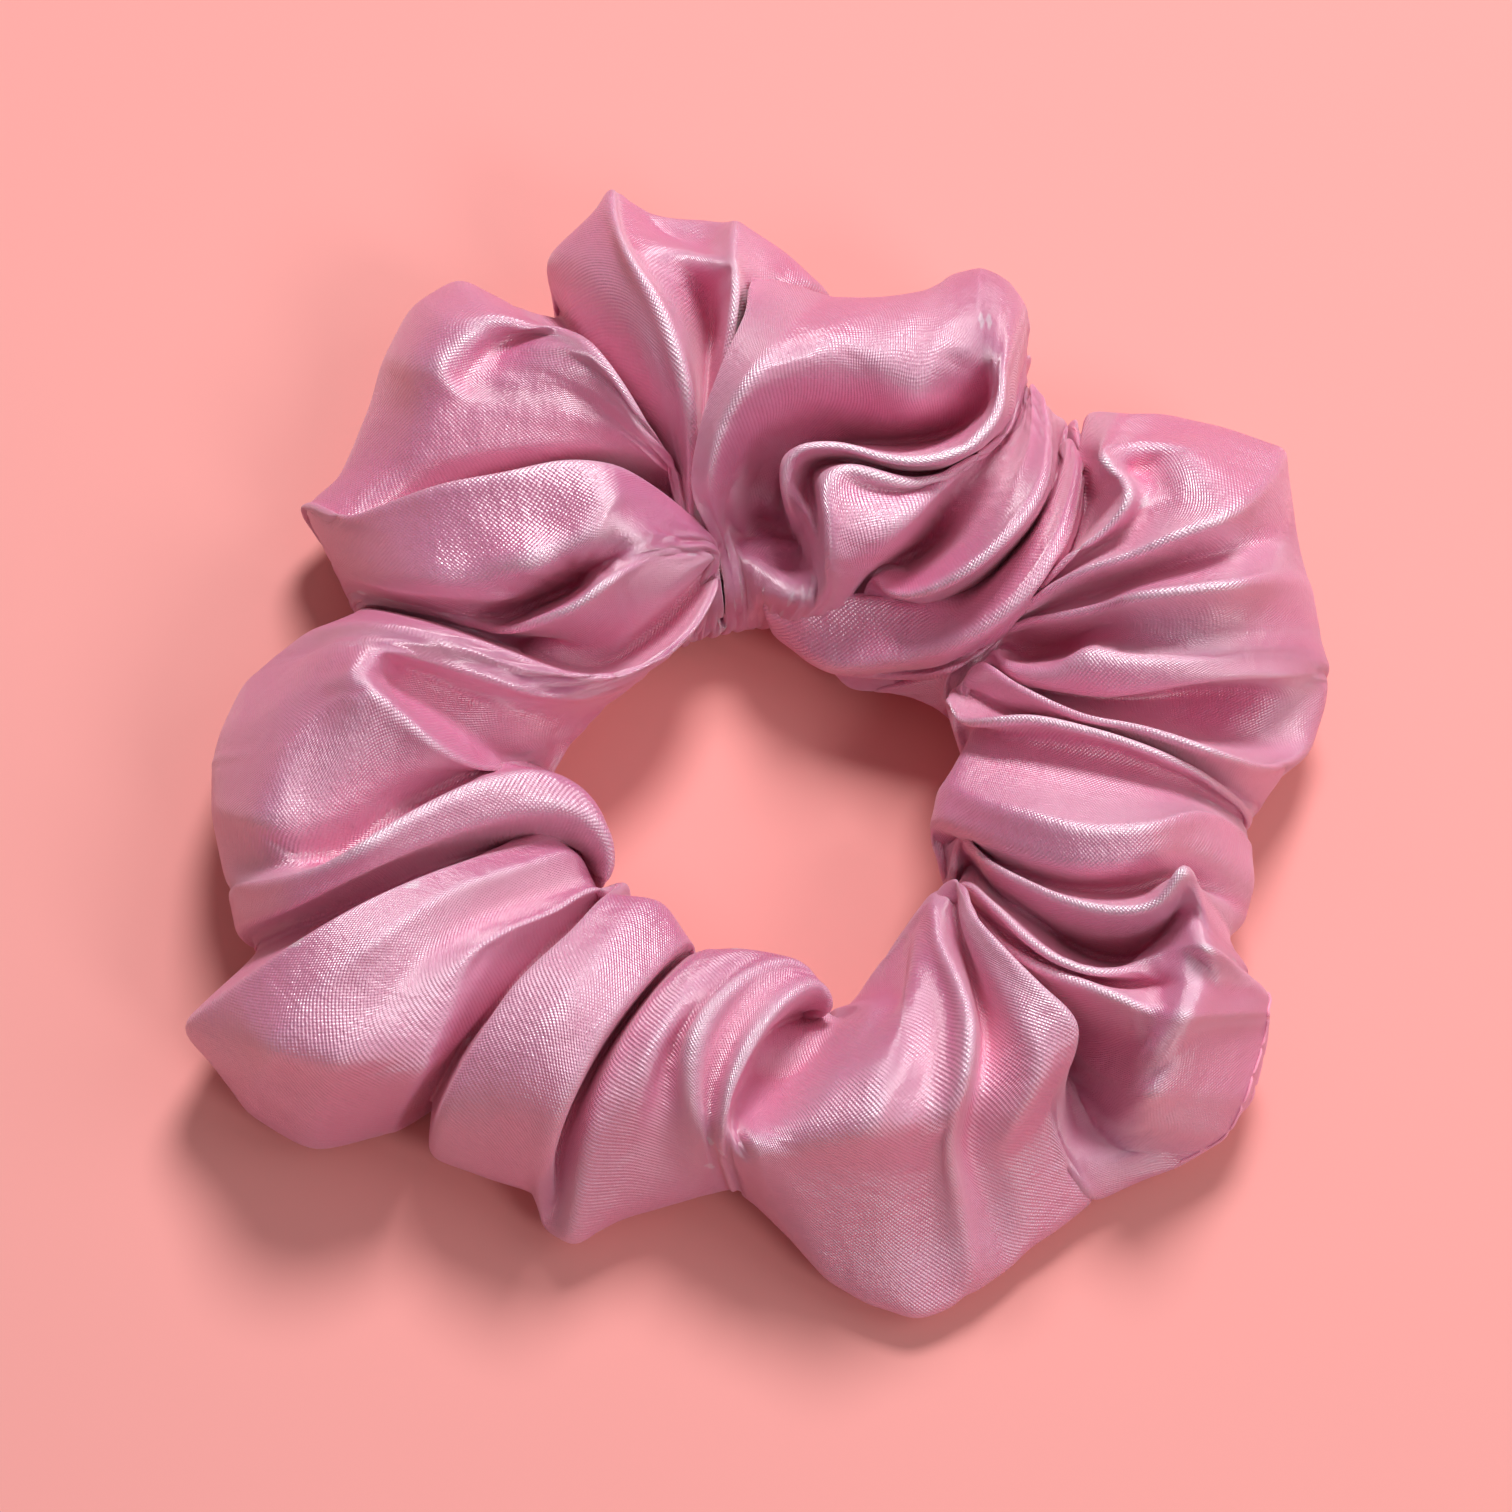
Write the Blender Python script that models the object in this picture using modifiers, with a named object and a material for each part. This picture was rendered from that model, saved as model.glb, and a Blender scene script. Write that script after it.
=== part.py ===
"""A satin hair scrunchie lying on a table: a gathered cloth tube round a flat elastic loop.

The cloth is one strip. Its long edges turn in and are sewn together as a seam allowance, except at the
closing, where the elastic went in and both layers are sewn along the edge instead.
Metres, +Z up. The origin is on the table, under the middle of the outline.
"""

import math

import bmesh
import bpy
from mathutils import Vector

NAME = "scrunchie"

# The cloth tube
RING_CENTRE = Vector((0.00025, -0.00782, 0.0))
SECTIONS = 84  # cloth sections round the ring
SECTION_POINTS = 13  # points of a section between its two seam corners
CLOTH = 0.0006  # wall, with the cloth's loft
SINK = 0.0012  # how far the round underside would reach below the table, where it lies flat
SEAM_GAP = 0.0008  # between the two seam allowances
ALLOWANCE = 0.005  # width of a seam allowance
VALLEY_REACH = 0.87  # of the puffs on both sides
VALLEY_HEIGHT = 0.80
# Each puff's angle round the ring, its reach from the ring's centre, and its height
PUFFS = [
    (-74.5, 0.0492, 0.0225),
    (-48.0, 0.0490, 0.0225),
    (-25.7, 0.0525, 0.0245),
    (-6.5, 0.0470, 0.0240),
    (15.0, 0.0553, 0.0240),
    (34.0, 0.0605, 0.0250),
    (66.5, 0.0580, 0.0260),
    (84.0, 0.0575, 0.0284),
    (103.0, 0.0648, 0.0260),
    (122.0, 0.0635, 0.0255),
    (147.0, 0.0545, 0.0240),
    (174.8, 0.0520, 0.0250),
    (203.5, 0.0579, 0.0240),
    (229.0, 0.0465, 0.0235),
    (250.0, 0.0445, 0.0225),
]

# The hair opening and the elastic: half widths along X and Y
HOLE = (0.0160, 0.0178)
ELASTIC_LOOP = (0.0250, 0.0250)
ELASTIC_HEIGHT = 0.0075  # of its middle over the table
ELASTIC_WIDTH = 0.0060
ELASTIC_THICK = 0.0009
ELASTIC_STEPS = 96  # along its length
OVERLAP = 32.0  # degrees of the loop where its two ends lie on each other
LAP_RAMP = 22.0  # degrees that an end takes to reach its place in the lap

# Sewing
THREAD = 0.00016  # radius
AIR = 0.0004  # between pieces that touch
CLOSING_ANGLE = -29.0  # middle of the closing
CLOSING_SECTIONS = 9  # its length, in cloth sections
CLOSING_STITCHES = 12
CLOSING_INSET = 0.30  # of the wall facet beside the seam, from its edge
SEAM_INSET = 0.0035  # of the long seam's stitches from the edge
SEAM_STITCHES_PER_SECTION = 1
STITCH_LIFT = 0.00025  # how far a thread rises between two needle holes
END_SEAM_SECTION = 37
END_SEAM_THREADS = (0.35, 0.65)  # their places between two cloth sections
END_SEAM_CLEARANCE = math.radians(24)  # round the tube, on each side of the long seam
END_SEAM_STITCHES = 22
TACK_HOLES = 7
TACK_PITCH = 0.0015
TACK_HALF_WIDTH = 0.0016
TACK_HOLE_RADIUS = 0.00058
TACK_HOLE_SIDES = 8
TACK_CUT = 0.006  # length of each hole's cutter, right through the lap


def clear_scene():
    for obj in list(bpy.data.objects):
        bpy.data.objects.remove(obj)


def new_collection(name, shown=True):
    collection = bpy.data.collections.new(name)
    bpy.context.scene.collection.children.link(collection)
    collection.hide_render = not shown
    return collection


def new_material(name, colour, roughness):
    material = bpy.data.materials.new(name)
    material.use_nodes = True
    shader = material.node_tree.nodes["Principled BSDF"]
    shader.inputs["Base Color"].default_value = (*colour, 1.0)
    shader.inputs["Roughness"].default_value = roughness
    shader.inputs["Metallic"].default_value = 0.0
    return material


def add_object(name, data, collection, parent, material=None):
    obj = bpy.data.objects.new(name, data)
    collection.objects.link(obj)
    obj.parent = parent
    if material:
        data.materials.append(material)
    return obj


def smooth(mesh):
    mesh.shade_smooth()
    mesh.set_sharp_from_angle(angle=math.radians(40))


# --- The ring's shape -------------------------------------------------------------------------------


def ellipse_radius(half_widths, angle):
    """Distance from an ellipse's centre to its edge, at an angle round it."""
    a, b = half_widths
    return a * b / math.hypot(b * math.cos(angle), a * math.sin(angle))


def stations():
    """(angle, reach, height) of each puff's crest and of the valley after it, in order round the ring."""
    found = []
    for i, (angle, reach, height) in enumerate(PUFFS):
        after = PUFFS[(i + 1) % len(PUFFS)]
        turn = (after[0] - angle) % 360
        found.append((angle, reach, height))
        found.append(
            (
                angle + turn / 2,
                VALLEY_REACH * (reach + after[1]) / 2,
                VALLEY_HEIGHT * (height + after[2]) / 2,
            )
        )
    return found


STATIONS = stations()


def reach_and_height(angle):
    """The tube's reach and height at an angle in radians, eased between crests and valleys."""
    degrees = (math.degrees(angle) - STATIONS[0][0]) % 360 + STATIONS[0][0]
    for i, (here, reach, height) in enumerate(STATIONS):
        after, next_reach, next_height = STATIONS[(i + 1) % len(STATIONS)]
        span = (after - here) % 360
        if degrees <= here + span:
            share = (1 - math.cos(math.pi * (degrees - here) / span)) / 2
            return reach + share * (next_reach - reach), height + share * (next_height - height)
    return STATIONS[0][1], STATIONS[0][2]


class Section:
    """The cloth tube's cross-section at one angle: an ellipse, flat where it lies on the table."""

    def __init__(self, angle):
        self.angle = angle
        reach, height = reach_and_height(angle)
        inner = ellipse_radius(HOLE, angle)
        self.mid = (inner + reach) / 2
        self.half_width = (reach - inner) / 2
        self.level = (height - SINK) / 2
        self.half_height = (height + SINK) / 2

    def at(self, radius, height):
        """A point of the section's plane, from its distance to the ring's centre and its height."""
        return Vector((radius * math.cos(self.angle), radius * math.sin(self.angle), height))

    def wall(self, phi, inset=0.0):
        """A point on the wall, or inset from it, at an angle round the section: 0 is outermost."""
        radius = self.mid + (self.half_width - inset) * math.cos(phi)
        height = self.level + (self.half_height - inset) * math.sin(phi)
        return self.at(radius, max(inset, height))

    def seam(self, side, inset=0.0):
        """A point on a seam allowance, inset from the edge. side is 1 above the gap and -1 below it."""
        return self.at(self.mid + self.half_width - inset, self.level + side * SEAM_GAP / 2)

    def outline(self):
        """The cloth from the tip of one seam allowance, round the tube, to the tip of the other."""
        step = 2 * math.pi / (SECTION_POINTS + 1)
        round_wall = [self.wall(step * (i + 1)) for i in range(SECTION_POINTS)]
        return [self.seam(1, ALLOWANCE), self.seam(1), *round_wall, self.seam(-1), self.seam(-1, ALLOWANCE)]


ALL_SECTIONS = [Section(2 * math.pi * i / SECTIONS) for i in range(SECTIONS)]


def between_sections(position, point_of):
    """point_of(section), taken straight between the two sections beside a position, as the cloth's facets are."""
    low = math.floor(position)
    a = point_of(ALL_SECTIONS[low % SECTIONS])
    b = point_of(ALL_SECTIONS[(low + 1) % SECTIONS])
    return a.lerp(b, position - low)


# --- The pieces -------------------------------------------------------------------------------------


def make_cover(collection, parent, material):
    """One strip of satin, lofted through the sections, with its seam allowances inside."""
    mesh = bpy.data.meshes.new("satin_cover")
    bm = bmesh.new()
    rows = [[bm.verts.new(p) for p in section.outline()] for section in ALL_SECTIONS]
    for i, row in enumerate(rows):
        after = rows[(i + 1) % SECTIONS]
        for k in range(len(row) - 1):
            bm.faces.new((row[k], after[k], after[k + 1], row[k + 1]))
    bm.to_mesh(mesh)
    bm.free()
    cover = add_object("satin_cover", mesh, collection, parent, material)
    wall = cover.modifiers.new("Cloth wall", "SOLIDIFY")
    wall.thickness = CLOTH
    wall.offset = -1.0
    wall.use_even_offset = True
    smooth(mesh)
    return cover


def lap_shift(turned):
    """How far the elastic lies off its loop: its first end inwards and its last end outwards, where they lap."""
    lift = (ELASTIC_THICK + AIR) / 2
    if turned < OVERLAP + LAP_RAMP:
        return -lift * min(1.0, (OVERLAP + LAP_RAMP - turned) / LAP_RAMP)
    return lift * max(0.0, min(1.0, (turned - 360 + LAP_RAMP) / LAP_RAMP))


def elastic_point(turned, height):
    """A point on the elastic's middle surface, after turning some degrees from its first end."""
    angle = math.radians(CLOSING_ANGLE - OVERLAP / 2 + turned)
    radius = ellipse_radius(ELASTIC_LOOP, angle) + lap_shift(turned)
    return Vector((radius * math.cos(angle), radius * math.sin(angle), height))


def tack_places():
    """(angle, height) of each needle hole of the zigzag that holds the elastic's lap."""
    middle = math.radians(CLOSING_ANGLE)
    step = TACK_PITCH / ellipse_radius(ELASTIC_LOOP, middle)
    for i in range(TACK_HOLES):
        side = 1 if i % 2 else -1
        yield middle + step * (i - (TACK_HOLES - 1) / 2), ELASTIC_HEIGHT + side * TACK_HALF_WIDTH


def make_tack_holes(collection, parent):
    """Cutters along the ring's radius, joined in one object."""
    bm = bmesh.new()
    for angle, height in tack_places():
        made = bmesh.ops.create_cone(
            bm,
            cap_ends=True,
            segments=TACK_HOLE_SIDES,
            radius1=TACK_HOLE_RADIUS,
            radius2=TACK_HOLE_RADIUS,
            depth=TACK_CUT,
        )
        out = Vector((math.cos(angle), math.sin(angle), 0))
        turn = out.to_track_quat("Z", "Y").to_matrix()
        bmesh.ops.rotate(bm, verts=made["verts"], matrix=turn)
        place = out * ellipse_radius(ELASTIC_LOOP, angle) + Vector((0, 0, height))
        bmesh.ops.translate(bm, verts=made["verts"], vec=place)
    mesh = bpy.data.meshes.new("tack_holes")
    bm.to_mesh(mesh)
    bm.free()
    cutter = add_object("tack_holes", mesh, collection, parent)
    cutter.hide_render = True
    cutter.display_type = "WIRE"
    return cutter


def make_elastic(collection, parent, material, cutter):
    """A flat strip bent into a loop, standing on edge, its ends lapped and pierced for the tack."""
    mesh = bpy.data.meshes.new("elastic_band")
    bm = bmesh.new()
    low, high = ELASTIC_HEIGHT - ELASTIC_WIDTH / 2, ELASTIC_HEIGHT + ELASTIC_WIDTH / 2
    turns = [(360 + OVERLAP) * i / ELASTIC_STEPS for i in range(ELASTIC_STEPS + 1)]
    rows = [[bm.verts.new(elastic_point(t, z)) for z in (low, high)] for t in turns]
    for here, after in zip(rows, rows[1:]):
        bm.faces.new((here[0], after[0], after[1], here[1]))
    bm.to_mesh(mesh)
    bm.free()
    elastic = add_object("elastic_band", mesh, collection, parent, material)
    strip = elastic.modifiers.new("Strip", "SOLIDIFY")
    strip.thickness = ELASTIC_THICK
    strip.offset = 0.0
    holes = elastic.modifiers.new("Needle holes", "BOOLEAN")
    holes.object = cutter
    holes.operation = "DIFFERENCE"
    smooth(mesh)
    return elastic


def make_thread(name, points, collection, parent, material):
    """A thread as a curve through its points."""
    curve = bpy.data.curves.new(name, "CURVE")
    curve.dimensions = "3D"
    curve.bevel_depth = THREAD
    curve.bevel_resolution = 0
    curve.use_fill_caps = True
    spline = curve.splines.new("POLY")
    spline.points.add(len(points) - 1)
    for target, point in zip(spline.points, points):
        target.co = (*point, 1.0)
    return add_object(name, curve, collection, parent, material)


def stitched(first, last, stitches, point_of):
    """Points of a thread from first to last: close to the cloth at each needle hole, lifted between two."""
    points = []
    for i in range(2 * stitches + 1):
        lift = STITCH_LIFT if i % 2 else 0.0
        points.append(point_of(first + (last - first) * i / (2 * stitches), THREAD + AIR + lift))
    return points


def closing_ends():
    middle = SECTIONS * (CLOSING_ANGLE % 360) / 360
    return middle - CLOSING_SECTIONS / 2, middle + CLOSING_SECTIONS / 2


def closing_thread(side):
    """Along the outside of the closing's edge, on the upper layer for side 1 or the lower one for side -1."""

    def on_section(section, away):
        step = 2 * math.pi / (SECTION_POINTS + 1)
        corner, beside = section.seam(side), section.wall(side * step)
        outward = section.at(1.0, 0.0)
        along = beside - corner
        normal = outward * abs(along.z) + Vector((0, 0, side * abs(along.dot(outward))))
        return corner.lerp(beside, CLOSING_INSET) + normal.normalized() * away

    def point(position, away):
        return between_sections(position, lambda section: on_section(section, away))

    return stitched(*closing_ends(), CLOSING_STITCHES, point)


def long_seam_thread(side):
    """Along a seam allowance inside the tube, all round the ring but for the closing."""

    def point(position, away):
        lift = Vector((0, 0, side * (CLOTH + away)))
        return between_sections(position, lambda section: section.seam(side, SEAM_INSET) + lift)

    start, end = closing_ends()
    first, last = math.ceil(end), math.floor(start) + SECTIONS
    return stitched(first, last, (last - first) * SEAM_STITCHES_PER_SECTION, point)


def end_seam_thread(section_offset):
    """Round the inside of the tube, where the two ends of the strip are joined."""

    def point(position, away):
        place = END_SEAM_SECTION + section_offset
        return between_sections(place, lambda section: section.wall(position, CLOTH + away))

    return stitched(END_SEAM_CLEARANCE, 2 * math.pi - END_SEAM_CLEARANCE, END_SEAM_STITCHES, point)


def tack_thread():
    """A zigzag through the needle holes: across the outside, through both layers, across the inside, and back."""
    reach = (ELASTIC_THICK + AIR) / 2 + ELASTIC_THICK / 2 + AIR + THREAD
    points = []
    for i, (angle, height) in enumerate(tack_places()):
        outside_first = i % 2 == 0
        for outside in (outside_first, not outside_first):
            radius = ellipse_radius(ELASTIC_LOOP, angle) + (reach if outside else -reach)
            points.append(Vector((radius * math.cos(angle), radius * math.sin(angle), height)))
    return points


def main():
    clear_scene()
    parts = new_collection(NAME)
    cutters = new_collection("cutters", shown=False)
    ring = add_object("ring_centre", None, parts, None)
    ring.location = RING_CENTRE
    satin = new_material("satin", (0.84, 0.42, 0.56), 0.35)
    knit = new_material("elastic", (0.86, 0.83, 0.80), 0.80)
    sewing = new_material("thread", (0.88, 0.50, 0.58), 0.55)

    make_cover(parts, ring, satin)
    make_elastic(parts, ring, knit, make_tack_holes(cutters, ring))
    threads = {
        "elastic_tack_thread": tack_thread(),
        "closing_needle_thread": closing_thread(1),
        "closing_bobbin_thread": closing_thread(-1),
        "long_seam_needle_thread": long_seam_thread(1),
        "long_seam_bobbin_thread": long_seam_thread(-1),
        "end_seam_needle_thread": end_seam_thread(END_SEAM_THREADS[0]),
        "end_seam_bobbin_thread": end_seam_thread(END_SEAM_THREADS[1]),
    }
    for name, points in threads.items():
        make_thread(name, points, parts, ring, sewing)


main()
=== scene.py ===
"""Looks of a pink satin scrunchie: a gathered cloth tube round an elastic, lying on a pale table.

The cover's fold lines are set below. A surface goes through them, and a small cloth solver then
relaxes it, keeps its layers apart and rests it on the table. Lengths in the cloth part are in millimetres.
"""

import math

import bpy
import numpy as np
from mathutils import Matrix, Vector


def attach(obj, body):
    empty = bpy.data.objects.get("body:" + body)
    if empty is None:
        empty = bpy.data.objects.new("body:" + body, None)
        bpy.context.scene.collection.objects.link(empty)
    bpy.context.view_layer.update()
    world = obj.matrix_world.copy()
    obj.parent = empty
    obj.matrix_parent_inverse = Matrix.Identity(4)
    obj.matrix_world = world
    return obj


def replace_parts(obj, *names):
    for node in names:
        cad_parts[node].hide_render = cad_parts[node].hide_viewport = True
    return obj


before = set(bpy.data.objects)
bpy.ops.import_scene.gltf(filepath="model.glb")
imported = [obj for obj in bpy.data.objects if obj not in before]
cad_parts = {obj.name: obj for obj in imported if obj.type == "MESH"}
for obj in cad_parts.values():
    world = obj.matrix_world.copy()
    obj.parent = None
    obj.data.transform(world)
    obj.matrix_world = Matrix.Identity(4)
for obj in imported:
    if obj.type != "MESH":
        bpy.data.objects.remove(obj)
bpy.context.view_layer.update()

MM = 0.001

# --- Camera: the view that the fold lines are drawn in ---------------------------------------------------

ELEVATION = math.radians(65)
DISTANCE = 400.0
VIEW_WIDTH = 144.85  # across the picture, at the aim point
AIM = np.array([-0.65, 1.78, 0.0])
UP = np.array([0.0, math.sin(ELEVATION), math.cos(ELEVATION)])
EYE = AIM + DISTANCE * np.array([0.0, -math.cos(ELEVATION), math.sin(ELEVATION)])

# --- The fold lines --------------------------------------------------------------------------------------
# Clockwise seen from above. Each line has its angle on the ring, in degrees, and the points that it passes on
# its way outwards over the top: (right, up, height). Right and up are measured across the main view from its
# middle, and height is over the table.
FOLDS = [
 # top fan
 (111, [(-8.2,27.3,9),(-11,32,11),(-15,37.5,11),(-18.8,42.3,7)]),
 (110, [(-8.1,28.5,13),(-10.8,34.5,16),(-14.6,41,17),(-19.4,45.2,12)]),
 (109, [(-7.7,29.5,15),(-9.8,36,20),(-13.4,43,20.5),(-17,47.3,18),(-19.9,47.9,13)]),
 (108, [(-7.1,29.5,15.5),(-8.6,36,21.5),(-11.2,43.5,23.5),(-13.8,49,21),(-16,51.6,16)]),
 (107.2, [(-6.3,25.5,14),(-6,31,20),(-6.8,36.5,24),(-8.8,42.5,25.5),(-12.2,48,24.5),(-13.5,51.5,21),
          (-14,54.2,16)]),
 (106.8, [(-6,26,12),(-5.6,31,15),(-6,36.5,18),(-7.6,42.5,20),(-11,47.3,21),(-12.5,50.2,19),(-13,53.8,15)]),
 (105.8, [(-5.4,28,11),(-5.2,34,12),(-5.4,39,13.5),(-6.2,44,16),(-8,48.2,19),(-8.9,50,14),(-9.6,51.8,13)]),
 (104.9, [(-4.8,30,12),(-4.3,36,12.5),(-4,41,13),(-4.1,45,16.5),(-4.8,47.3,20),(-5,49,15),(-5.2,51.4,14)]),
 (104, [(-4.3,30,14),(-3.2,36,19),(-2.3,41,22),(-1.9,45,23),(-2.1,48,21.5),(-2,51.3,17)]),
 (103, [(-4,28,11),(-2.7,36,13),(-0.9,42,15),(1.2,45.6,16),(3.5,47.7,12)]),
 (102.3, [(-3.6,24,9),(-2.2,33,11),(-0.2,40,12),(2.2,44,14.5),(6.7,44.6,11)]),
 (101.8, [(-3.5,22,6),(-2.2,30,6.5),(2,38,7),(8,42.3,6)]),
 # rosette: its left limb, the bowl, the lip across it, the cup below it
 (100.5, [(-3.3,19.3,9),(-4.6,22,15),(-6.1,25.5,18),(-5.4,31,21.5),(-3.4,37,23.5),(-1.1,42,22.5),
          (0.2,45.9,16),(5.5,43.8,10)]),
 (98, [(-3.0,19.6,10),(-3.7,23,15.5),(-4.2,27,21.5),(-3,32,25.5),(-0.3,36.5,28),(3.5,41,26.5),
          (7.5,43.8,18)]),
 (95.8, [(-2.2,19.2,10),(-2.9,22,12),(-2.6,25,16),(-0.6,29.5,18.5),(2.5,34,23),(6,38,27.3),(9,41.5,26),
          (11.5,43.7,18)]),
 (94, [(-1.1,18.6,12),(-1.4,20.8,9),(-1.4,23.2,12.5),(0.3,27.5,14.5),(4.5,32,16.5),(9.5,34,20.5),
          (12,37.5,26.2),(15,42.2,25),(16,44.4,18)]),
 (92, [(0.2,17.6,13.5),(0.7,20,9),(0.6,22.6,8),(1,24.5,12),(3.5,28.4,12.5),(8,31,13),(13.2,32,17),
          (15.6,35,24.3),(18,41,25),(18.6,46,18)]),
 (90, [(2.3,16.2,14.5),(3,18.6,10.5),(3.4,21.3,7.5),(2.6,23.6,9.5),(3,27,11),(7,29.6,11),(13,30,10.5),
          (18,31,12),(21.3,34.6,18),(21.2,38.5,23.5),(21,42.8,23.6),(21.4,46.7,18.5)]),
 (88, [(3.6,15.6,15),(4.4,18.2,12),(4,20.8,10),(3.2,22.8,14),(2.3,26,17.5),(2.9,29.1,21),(7,29.9,21),
          (13,28.8,20),(19,30,19),(22.4,33.2,20),(23,37,23.5),(23.3,41.4,23.4),(24.2,45.4,18)]),
 (87, [(4.8,15.4,15.5),(5.4,18.2,13.5),(4.8,21,13.5),(3.7,23,18),(2.6,26,22),(3.6,29.3,24.5),(8,29.8,25),
          (14,28.3,25),(19.5,29.2,25),(22.9,32.4,25),(23.7,36.2,24.5),(24.8,40.5,22),(25.8,43.3,17)]),
 (86, [(5.4,15.3,15.5),(5.8,18,15),(5.4,21.2,16),(4.4,23.4,19),(3.3,26.2,21.5),(4.2,28.5,22.5),
          (8.4,29,22.5),(14,27.6,22),(19.7,28.4,21.5),(23.4,31.8,21.5),(24.4,36,21),(25.5,39.8,17),
          (26,41.5,12)]),
 (84, [(6.1,15.4,16),(6.3,18.5,17.5),(6.1,22,18),(5.2,25,18),(5.4,27.6,18),(9.5,28.3,17.5),(14.5,27,16),
          (19.8,28,16),(24,31.6,16),(25,36,14),(25.9,39,9)]),
 (81.5, [(7,15.5,16),(6.8,18.8,21.5),(6.8,23,24.5),(6.6,26.8,25),(9.5,27.7,25),(13.5,26.4,24),(17,26.6,22),
          (20.5,28.3,19),(24.4,31.6,15),(25.6,35.6,11),(25.9,38.4,7)]),
 (79, [(8,15.7,16),(7.8,19,21.5),(8.2,23,23.5),(9.5,25.8,23),(13,25.4,21.5),(17,26,20.5),(21,28.6,18),
          (25,32.5,12.5),(25.9,36,8)]),
 (76, [(9.5,16.5,16),(10.4,18.8,20),(12.4,20.8,22),(14.7,22.8,22.5),(17,25.3,21.5),(20,27.7,19),
          (24.4,31.5,13),(25.8,35.8,7)]),
 (74, [(10.4,17.2,13),(12,18.6,14.5),(14,20.2,15.5),(16,22.6,16.5),(18.4,25.4,16.5),(21,27.6,16),
          (24.6,31,13),(26,35.4,7)]),
 # rosette: the rolls round its right side, and the skirt under it
 (72, [(12,17.9,8.5),(14,18.9,8),(16.6,20.8,9.5),(19,23.8,14),(22.4,26.4,17),(25,29.6,16),(26,34.5,8)]),
 (69, [(11.7,17.6,11),(15,17.3,13.5),(19.4,19.9,17.5),(23,23,20.5),(25.4,27,20.5),(26.6,31.6,16.5),
          (26.4,35.6,9)]),
 (66, [(11.2,17,14),(12.4,15.7,16),(15,15.3,18.5),(20,17.5,22),(24.5,21.4,23.5),(27.3,25.4,22.5),
          (28.1,30,18),(27.3,34,12)]),
 (64, [(12.3,15.2,12),(15.4,14.9,14),(20.4,16.9,16.5),(25,20.9,18),(27.8,25,17.5),(28.6,29.6,13),
          (28.2,33,8)]),
 (61, [(13.3,14.3,10),(16,14.2,8.5),(21.2,16.2,8.5),(25.7,20.6,9.5),(28.3,25.4,9.5),(29.2,29.4,7),
          (29.6,32,5)]),
 (57, [(0.2,16.3,13),(4.5,15.3,12.5),(9,14.8,12.5),(14.8,14.3,13),(19,13.6,14.5),(24,17.6,17),
          (27.6,22.3,17.5),(29.2,26.4,14),(30,30.5,8)]),
 (54, [(0.3,14.8,10.5),(4,12.7,10.5),(9,11.6,11),(14.5,11.6,13),(19.5,12.4,16),(24.5,16,18.7),
          (28,20.8,19.5),(29.8,25.2,17),(30.6,29.6,9)]),
 (51, [(0.8,13.1,8),(3.8,10.4,8.5),(7,8.7,9.5),(12,8.9,11.5),(17,9.8,14),(21.5,11.8,17),(25.6,15.2,19.6),
          (29,20,20),(30.5,24.6,17.5),(31,28.8,11)]),
 (47, [(2.2,11.8,6),(6.8,8.1,6),(12,8,8),(18,8.9,10.5),(22.5,11.4,13),(26.6,15,15),(30,20,15.5),
          (31.3,25,13),(31,29.4,8)]),
 (42, [(8.6,6.6,3.5),(14,6.8,4),(19.2,8.4,5.5),(23,11,7.5),(27,14.8,10),(30.4,19.6,11),(31.8,25,9),
          (30.8,29.6,7),(30.6,32.4,5)]),
 # right upper fan
 (33, [(20.7,9.8,8),(25,13,11),(28.8,17.4,13.5),(31.3,21.6,14),(32.5,25.4,13),(31.2,29,12.5),
          (31.8,32.7,9)]),
 (31.8, [(21.3,10.2,10),(25.8,14.4,15.5),(29.6,18.8,19.5),(33.4,21.6,22),(35.8,24.8,24),(34.6,27.3,23),
          (33.2,28.1,23.5),(34,31,19),(35.2,32.7,14)]),
 (31, [(21.6,10.4,10),(26.2,14.8,15),(30,19,18),(34.4,21.4,19),(37.2,24.8,20),(36.6,27.6,18),
          (35.8,29.5,20.5),(38.2,31,17),(39.6,32.6,12)]),
 (29.8, [(22,10.7,10),(27,15.4,15.5),(31.4,18.6,18),(36.2,21.4,19.5),(40,25,21.5),(41,28.6,22),
          (42.8,30.5,18),(44.4,31.4,12)]),
 (28.3, [(22.3,11,11),(27,15.4,17.5),(31.4,17.8,21),(36,19.2,23),(40,21,24.8),(45,22.8,25),(48.4,25.8,22),
          (50.6,29.3,14)]),
 (27, [(22.7,11.2,10),(28,14.2,13.5),(34,16.4,15.5),(40,18.4,18),(46,20,19.5),(50,21.6,17),(51.4,23.6,10)]),
 (25.6, [(23.4,11.9,12),(28,13.2,16),(33,14.2,20),(36,15.2,24),(41,15.9,25.3),(46,16.5,25),(50.5,17,19),
          (53.2,16,11)]),
 (24.6, [(23.4,11.2,9),(27,11.7,10),(31,12.4,13),(34,13.4,17),(37.4,13.4,20),(44,13.4,21),(50,13.2,17),
          (53.9,12.6,10)]),
 (23.6, [(23,10.2,7),(26.6,9.9,6.5),(30,10.6,8.5),(33,11.6,14),(37,11.4,18.5),(43,11,20),(49.5,11,17),
          (54.2,10.8,10)]),
 (22.6, [(22.2,9.6,11),(25,8.5,15),(28.5,8.3,18),(31.6,9.9,20.5),(36,9.2,20.5),(42,8.8,20),(49,8.8,16.5),
          (54.8,8.6,10)]),
 (21.6, [(21.9,9.1,9.5),(25,7.3,13.5),(29,6.4,16),(34,6,17.5),(39,6.6,18.5),(44,7.3,18.5),(50,7.7,15.5),
          (54.6,8,9)]),
 # right side
 (20.6, [(21.6,8.6,7),(26,6.7,7),(31,5.8,7),(36,5.6,6.5),(41,6,7),(46,5.8,9),(50,5.2,10),(54.4,5.2,8)]),
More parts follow.
